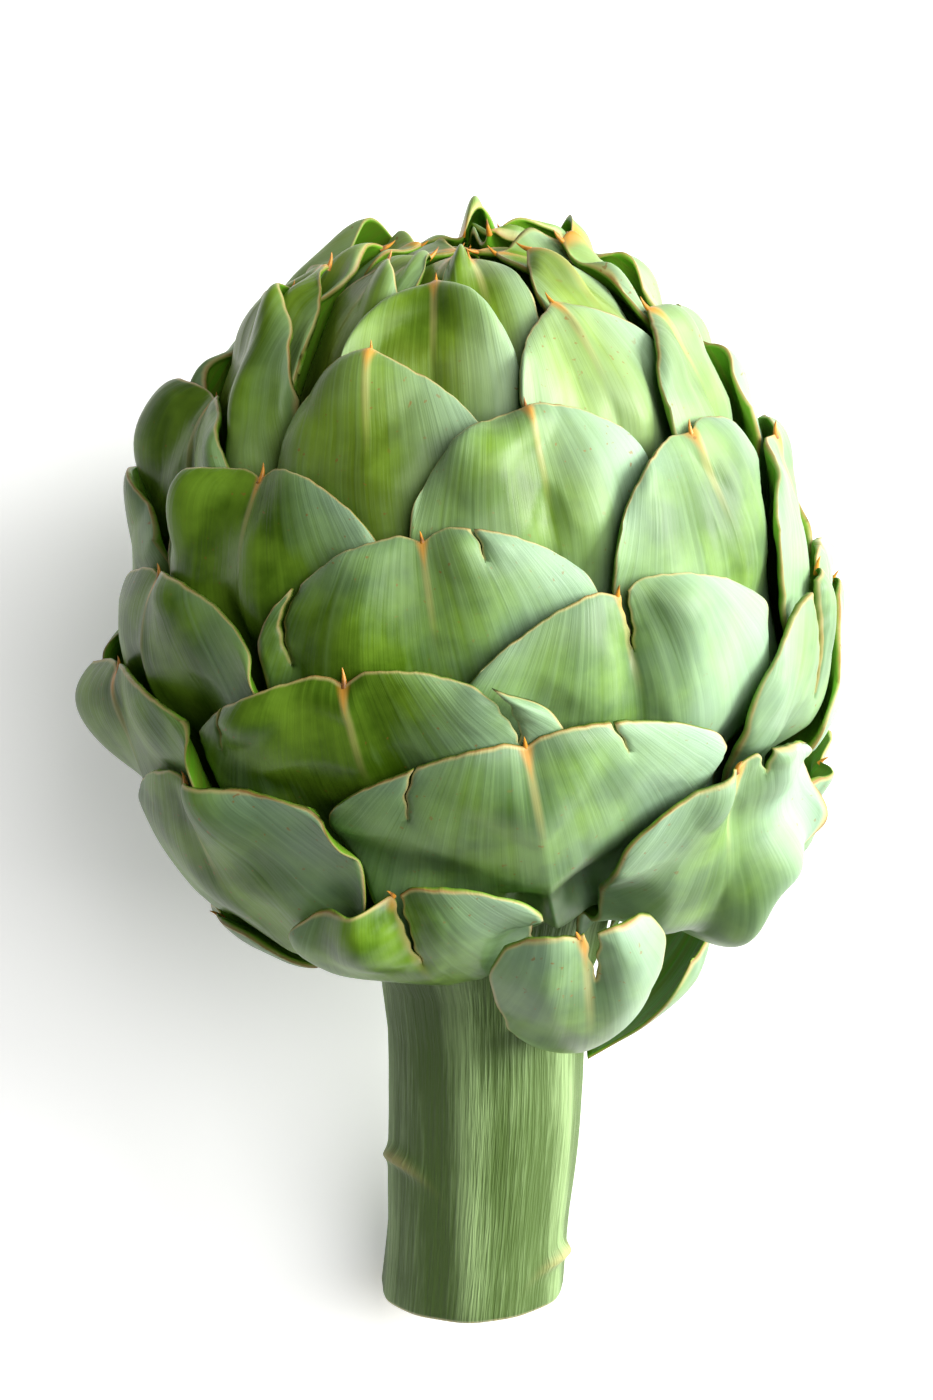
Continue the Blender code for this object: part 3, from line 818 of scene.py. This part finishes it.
def stem_material(colours):
    """Downy ribbed stem: green furrows between pale ribs, fibres along it, a dry cut end."""
    material, tree, place = new_material("downy_ribbed_stem")
    rib, height, around, cut, scar = (
        node(tree, ATTRIBUTE, output="Fac", attribute_name=name)
        for name in ("rib", "height", "around", "cut", "scar"))

    # Bundles of fibres lie about 0.7 mm apart, and single ones about 0.25 mm.
    spot = node(tree, "ShaderNodeCombineXYZ", (around, height))
    spread, fine_spread = (
        node(tree, "ShaderNodeVectorMath", (spot, scale), operation="MULTIPLY")
        for scale in ((1.4, 0.05, 1.0), (4.0, 0.16, 1.0)))
    fibres, fine_fibres, patches = (
        node(tree, NOISE, {"Vector": vector, "Scale": scale, "Detail": detail})
        for vector, scale, detail in ((spread, 1.0, 3.0), (fine_spread, 1.0, 3.0),
                                      (place, 60.0, 4.0)))

    pale = node(tree, MATH, (patches, 0.5), operation="MULTIPLY")
    for pattern, weight in ((fine_fibres, 0.5), (fibres, 0.9), (rib, 0.32)):
        pale = node(tree, MATH, (pattern, weight, pale), operation="MULTIPLY_ADD")
    pale = node(tree, STEP, (pale, 0.75, 1.45), **SMOOTH)
    scar = node(tree, MATH, (scar, 0.7), operation="MULTIPLY")
    woody = node(tree, STEP, (fine_fibres, 0.35, 0.65), **SMOOTH)
    skin = node(tree, MIX, {0: pale, 6: colours.stem, 7: colours.stem_rib}, **COLOURS)
    skin = node(tree, MIX, {0: scar, 6: skin, 7: colours.margin}, **COLOURS)
    wood = node(tree, MIX, {0: woody, 6: colours.pith, 7: colours.margin}, **COLOURS)
    colour = node(tree, MIX, {0: cut, 6: skin, 7: wood}, **COLOURS)
    height = node(tree, MATH, (fine_fibres, 0.6, fibres), operation="MULTIPLY_ADD")
    relief = node(tree, BUMP, {"Strength": 0.6, "Distance": 0.0008, "Height": height})
    shader = node(tree, "ShaderNodeBsdfPrincipled", {
        "Base Color": colour, "Roughness": 0.62, "Normal": relief})
    node(tree, "ShaderNodeOutputMaterial", {"Surface": shader})
    return material


def thorn_material(colours):
    """Horny thorn: smooth, hard and slightly glossy, with darker grain."""
    material, tree, place = new_material("horny_thorn")

    # The grain is about 2 mm across, so that one thorn differs from the next.
    grain = node(tree, NOISE, {"Vector": place, "Scale": 500.0, "Detail": 2.0})
    share = node(tree, STEP, (grain, 0.45, 0.7), **SMOOTH)
    colour = node(tree, MIX, {0: share, 6: colours.thorn, 7: colours.scorch}, **COLOURS)
    shader = node(tree, "ShaderNodeBsdfPrincipled", {"Base Color": colour,
                                                     "Roughness": 0.38})
    node(tree, "ShaderNodeOutputMaterial", {"Surface": shader})
    return material


def floor_material(colours):
    """Matt white paper, smooth and without a pattern that would show."""
    material, tree, place = new_material("matt_white_paper")
    grain = node(tree, NOISE, {"Vector": place, "Scale": 700.0, "Detail": 2.0})
    relief = node(tree, BUMP, {"Strength": 0.05, "Distance": 0.0002, "Height": grain})
    shader = node(tree, "ShaderNodeBsdfPrincipled", {
        "Base Color": colours.floor, "Roughness": 0.9, "Normal": relief,
        "Emission Color": (1.0, 1.0, 1.0, 1.0), "Emission Strength": FLOOR_GLOW})
    node(tree, "ShaderNodeOutputMaterial", {"Surface": shader})
    return material


def thorn_tree():
    """Geometry Nodes: a small hooked thorn on every seat, along the seat's own direction."""
    tree = bpy.data.node_groups.new("thorns_on_seats", "GeometryNodeTree")
    for name, kind, default in (("Seats", "NodeSocketGeometry", None),
                                ("Length", "NodeSocketFloat", 0.002),
                                ("Width", "NodeSocketFloat", 0.001),
                                ("Hook", "NodeSocketFloat", THORN_HOOK),
                                ("Finish", "NodeSocketMaterial", None)):
        socket = tree.interface.new_socket(name, in_out="INPUT", socket_type=kind)
        if default is not None:
            socket.default_value = default
    tree.interface.new_socket("Thorns", in_out="OUTPUT", socket_type="NodeSocketGeometry")
    given = tree.nodes.new("NodeGroupInput").outputs
    root, waist, hook = (
        node(tree, MATH, (given["Length"], share), operation="MULTIPLY")
        for share in (-0.35, 0.45, given["Hook"]))
    start = node(tree, "ShaderNodeCombineXYZ", {"Z": root})
    middle = node(tree, "ShaderNodeCombineXYZ", {"Z": waist})
    end = node(tree, "ShaderNodeCombineXYZ", {"X": hook, "Z": given["Length"]})
    spine = node(tree, "GeometryNodeCurveQuadraticBezier",
                 {"Resolution": 6, "Start": start, "Middle": middle, "End": end})
    along = node(tree, "GeometryNodeSplineParameter")
    left = node(tree, MATH, (1.04, along), operation="SUBTRACT")
    taper = node(tree, MATH, (left, 0.8), operation="POWER")
    thick = node(tree, MATH, (taper, given["Width"]), operation="MULTIPLY")
    ring = node(tree, "GeometryNodeCurvePrimitiveCircle", {"Resolution": 8, "Radius": 0.5})
    thorn = node(tree, "GeometryNodeCurveToMesh",
                 {"Curve": spine, "Profile Curve": ring, "Scale": thick, "Fill Caps": True})
    aim, away, size = (
        node(tree, "GeometryNodeInputNamedAttribute", {"Name": name}, data_type=kind)
        for name, kind in (("aim", "FLOAT_VECTOR"), ("away", "FLOAT_VECTOR"), ("size", "FLOAT")))
    upright = node(tree, "FunctionNodeAlignRotationToVector", {"Vector": aim}, axis="Z")
    turned = node(tree, "FunctionNodeAlignRotationToVector",
                  {"Rotation": upright, "Vector": away}, axis="X", pivot_axis="Z")
    copies = node(tree, "GeometryNodeInstanceOnPoints",
                  {"Points": given["Seats"], "Instance": thorn, "Rotation": turned,
                   "Scale": size})
    real = node(tree, "GeometryNodeRealizeInstances", {"Geometry": copies})
    finished = node(tree, "GeometryNodeSetMaterial",
                    {"Geometry": real, "Material": given["Finish"]})
    node(tree, "NodeGroupOutput", {"Thorns": finished})
    return tree


def grow_on(seats, tree, name, inputs):
    """Runs a node tree on a mesh of seats and gives back the plain mesh it makes."""
    holder = bpy.data.objects.new(name + "_seats", seats)
    bpy.context.scene.collection.objects.link(holder)
    modifier = holder.modifiers.new("grow", "NODES")
    modifier.node_group = tree
    for item in tree.interface.items_tree:
        if item.item_type == "SOCKET" and item.in_out == "INPUT" and item.name in inputs:
            modifier[item.identifier] = inputs[item.name]
    graph = bpy.context.evaluated_depsgraph_get()
    mesh = bpy.data.meshes.new_from_object(holder.evaluated_get(graph))
    mesh.name = name
    holder.modifiers.clear()
    bpy.data.objects.remove(holder)
    return mesh


def seat_mesh(shapes):
    """One point in the notch of every bract, with the way that its thorn points."""
    points, aims, aways, sizes = [], [], [], []
    for shape in shapes:
        middle = shape.inner.shape[0] // 2
        rows = shape.points().reshape(2, *shape.inner.shape, 3)
        root = placed((rows[0, middle, 0] * 0.4 + rows[1, middle, 0] * 0.6)[None])[0]
        below = placed(rows[1, middle, 6][None])[0]
        outward = placed(rows[1, middle, 0][None] * 1.05)[0] - root
        outward = outward / np.linalg.norm(outward)
        upward = root - below
        upward = upward / np.linalg.norm(upward)
        tilt = shape.random.uniform(0.15, 0.6)
        points.append(root)
        aims.append(upward + tilt * outward)
        aways.append(outward - 0.2 * upward)
        sizes.append(shape.random.uniform(0.6, 1.15) * (0.9 + 0.1 * float(
            ease(shape.order, 6.0, 26.0))))
    made = bmesh.new()
    for point in points:
        made.verts.new(point)
    mesh = mesh_from(made, "thorn_seats")
    for name, values in (("aim", aims), ("away", aways)):
        layer = mesh.attributes.new(name, "FLOAT_VECTOR", "POINT")
        layer.data.foreach_set("vector", np.asarray(values, np.float32).ravel())
    write_attribute(mesh, "size", sizes)
    return mesh


class Growth:
    """What the operators hand on: the core and the shapes of the bracts laid so far."""
    core = None
    shapes = []


class ARTICHOKE_OT_heart(bpy.types.Operator):
    """Turns the inner bud and the stem, and lets the core settle under the bracts"""
    bl_idname = "artichoke.heart"
    bl_label = "Heart and stem"

    def execute(self, context):
        sizes, colours = context.scene.artichoke_sizes, context.scene.artichoke_colours
        Growth.core = settled_core()
        profile = [(0.0, core_point(Growth.core, 0.0)[1])]
        for angle in np.linspace(3.0, BUD_END_ANGLE, 40):
            profile.append(core_point(Growth.core, float(angle)))
        profile.append((0.0, HEART_TOP + 0.3))
        made = lathe(profile, 72)
        made.transform(head_matrix())
        bud = mesh_from(made, "inner_bud_mesh")
        for name, value in (("outside", 1.0), ("young", 1.0), ("edge", 5.0), ("down", 30.0),
                            ("bloom_and_painted_light", 0.2), ("tone", 0.5)):
            write_attribute(bud, name, np.full(len(bud.vertices), value))
        green = bract_material(colours)
        new_piece("young_bud", bud, green, "bud_green", "inner_bud")

        made = lathe(stem_profile(Growth.core), 160)
        shape_stem(made, sizes.rib_height / MM)
        mesh = mesh_from(made, "stem_mesh")
        local = np.zeros(len(mesh.vertices) * 3)
        mesh.vertices.foreach_get("co", local)
        local = local.reshape(-1, 3)
        straight = local[:, 0] - stem_bend(local[:, 2])
        azimuth = np.arctan2(straight, -local[:, 1])
        for name, values in (
                ("rib", rib_wave(azimuth, local[:, 2])), ("height", local[:, 2]),
                ("around", np.abs(azimuth) * STEM_RADIUS),
                ("scar", np.max(scar_ridges(azimuth, local[:, 2], 0.9), axis=0)),
                ("cut", ease(-local[:, 2], -STEM_END - 0.6, -STEM_END - 0.3))):
            write_attribute(mesh, name, values)
        world = placed(local)
        world[:, 2] = np.maximum(world[:, 2], 0.0)
        mesh.vertices.foreach_set("co", world.astype(np.float32).ravel())
        new_piece("ribbed_stem", mesh, stem_material(colours), "stem_green",
                  "stem_and_heart")
        return {"FINISHED"}


class ARTICHOKE_OT_bracts(bpy.types.Operator):
    """Lays the bracts on the core one after another, from the innermost out"""
    bl_idname = "artichoke.bracts"
    bl_label = "Bracts"

    def execute(self, context):
        if Growth.core is None:
            raise RuntimeError("the heart comes before the bracts")
        sizes = context.scene.artichoke_sizes
        green = bpy.data.materials["waxy_artichoke_bract"]
        surface = SurfaceMap(finer(Growth.core, FINE_MAP))
        Growth.shapes = []
        bud_tips = bmesh.new()
        for order in laying_orders():
            shape = BractShape(order, surface, FINE_GRID, FINE_SAMPLES, 2,
                               sizes.rim_thickness / MM, sizes.notch_depth / MM)
            Growth.shapes.append(shape)
            number = order - FIRST_BRACT + 1
            mesh = bract_mesh(shape, "bract_mesh_%04.1f" % number)
            if order in BUD_BRACTS:
                bud_tips.from_mesh(mesh)
            else:
                new_piece("waxy_bract_%02d" % number, mesh, green, "bract_green",
                          "bract_%02d" % number)
        new_piece("bud_tips", mesh_from(bud_tips, "bud_tips_mesh"), green, "bud_green")
        return {"FINISHED"}


class ARTICHOKE_OT_thorns(bpy.types.Operator):
    """Sets a small horny thorn in the notch of every bract"""
    bl_idname = "artichoke.thorns"
    bl_label = "Thorns"

    def execute(self, context):
        sizes, colours = context.scene.artichoke_sizes, context.scene.artichoke_colours
        horny = thorn_material(colours)
        mesh = grow_on(seat_mesh(Growth.shapes), thorn_tree(), "thorn_mesh",
                       {"Length": sizes.thorn_length, "Width": sizes.thorn_width,
                        "Hook": THORN_HOOK, "Finish": horny})
        if not mesh.polygons:
            raise RuntimeError("no thorn grew")
        new_piece("bract_thorns", outward_mesh(mesh), horny, "bract_green")
        return {"FINISHED"}


# The stage: lengths in metres, angles in degrees, the lights' energy in watts, and their
# places from the head's centre.
CAMERA_OFF_AXIS = 15.0
CAMERA_DISTANCE = 0.650
CAMERA_ROLL = -1.3
CAMERA_LENS = 103.45
CAMERA_SHIFT = (-0.0078, -0.0784)
KEY_LIGHT = {"energy": 24.0, "size": 0.6, "place": (1.0, 0.15, 0.42)}
FILL_LIGHT = {"energy": 14.0, "size": 0.9, "place": (0.5, 0.0, 1.1)}
ROOM_LIGHT = 0.06
FLOOR_GLOW = 0.4


def aimed(origin, target):
    """Places something at the origin and turns its -Z axis to the target."""
    forward = (Vector(target) - Vector(origin)).normalized()
    turn = forward.to_track_quat("-Z", "Y").to_matrix().to_4x4()
    return Matrix.Translation(origin) @ turn


class ARTICHOKE_OT_stage(bpy.types.Operator):
    """Lays the pale floor and sets the lights and the camera"""
    bl_idname = "artichoke.stage"
    bl_label = "Stage"

    def execute(self, context):
        scene = context.scene
        made = bmesh.new()
        bmesh.ops.create_grid(made, x_segments=2, y_segments=2, size=3.0)
        mesh = mesh_from(made, "floor_mesh")
        mesh.materials.append(floor_material(scene.artichoke_colours))
        floor = bpy.data.objects.new("floor", mesh)
        scene.collection.objects.link(floor)

        centre = Vector(HEAD_CENTRE)
        for name, light in (("key", KEY_LIGHT), ("fill", FILL_LIGHT)):
            data = bpy.data.lights.new(name + "_light", "AREA")
            data.energy, data.size = light["energy"], light["size"]
            lamp = bpy.data.objects.new(name + "_light", data)
            lamp.matrix_world = aimed(centre + Vector(light["place"]), centre)
            scene.collection.objects.link(lamp)

        world = bpy.data.worlds.new("soft_white_room")
        world.use_nodes = True
        sky = world.node_tree.nodes["Background"]
        sky.inputs["Color"].default_value = (1.0, 1.0, 1.0, 1.0)
        sky.inputs["Strength"].default_value = ROOM_LIGHT
        scene.world = world
        scene.view_settings.view_transform = "Standard"

        angle = math.radians(AXIS_RISE - CAMERA_OFF_AXIS)
        back = Vector((0.0, -math.sin(angle), math.cos(angle)))
        up = Vector((0.0, math.cos(angle), math.sin(angle)))
        right = Vector((1.0, 0.0, 0.0))
        roll = math.radians(CAMERA_ROLL)
        x_axis = right * math.cos(roll) + up * math.sin(roll)
        y_axis = up * math.cos(roll) - right * math.sin(roll)
        turn = Matrix((x_axis, y_axis, back)).transposed().to_4x4()
        data = bpy.data.cameras.new("camera")
        data.lens = CAMERA_LENS
        data.shift_x, data.shift_y = CAMERA_SHIFT
        data.clip_start = 0.01
        camera = bpy.data.objects.new("camera", data)
        camera.matrix_world = Matrix.Translation(centre + back * CAMERA_DISTANCE) @ turn
        scene.collection.objects.link(camera)
        scene.camera = camera
        return {"FINISHED"}


class ARTICHOKE_PT_panel(bpy.types.Panel):
    """Lists the steps that build the artichoke"""
    bl_idname = "ARTICHOKE_PT_panel"
    bl_label = "Artichoke"
    bl_space_type = "VIEW_3D"
    bl_region_type = "UI"
    bl_category = "Artichoke"

    def draw(self, context):
        for step in STEPS:
            self.layout.operator(step.bl_idname)
        for group in (context.scene.artichoke_sizes, context.scene.artichoke_colours):
            for name in group.__annotations__:
                self.layout.prop(group, name)


STEPS = (ARTICHOKE_OT_heart, ARTICHOKE_OT_bracts, ARTICHOKE_OT_thorns, ARTICHOKE_OT_stage)
CLASSES = (ArtichokeSizes, ArtichokeColours, *STEPS, ARTICHOKE_PT_panel)


def register():
    for item in CLASSES:
        bpy.utils.register_class(item)
    bpy.types.Scene.artichoke_sizes = bpy.props.PointerProperty(type=ArtichokeSizes)
    bpy.types.Scene.artichoke_colours = bpy.props.PointerProperty(type=ArtichokeColours)


def unregister():
    del bpy.types.Scene.artichoke_colours
    del bpy.types.Scene.artichoke_sizes
    for item in reversed(CLASSES):
        bpy.utils.unregister_class(item)


def main():
    register()
    bpy.ops.artichoke.heart()
    bpy.ops.artichoke.bracts()
    bpy.ops.artichoke.thorns()
    bpy.ops.artichoke.stage()


if __name__ == "__main__":
    main()
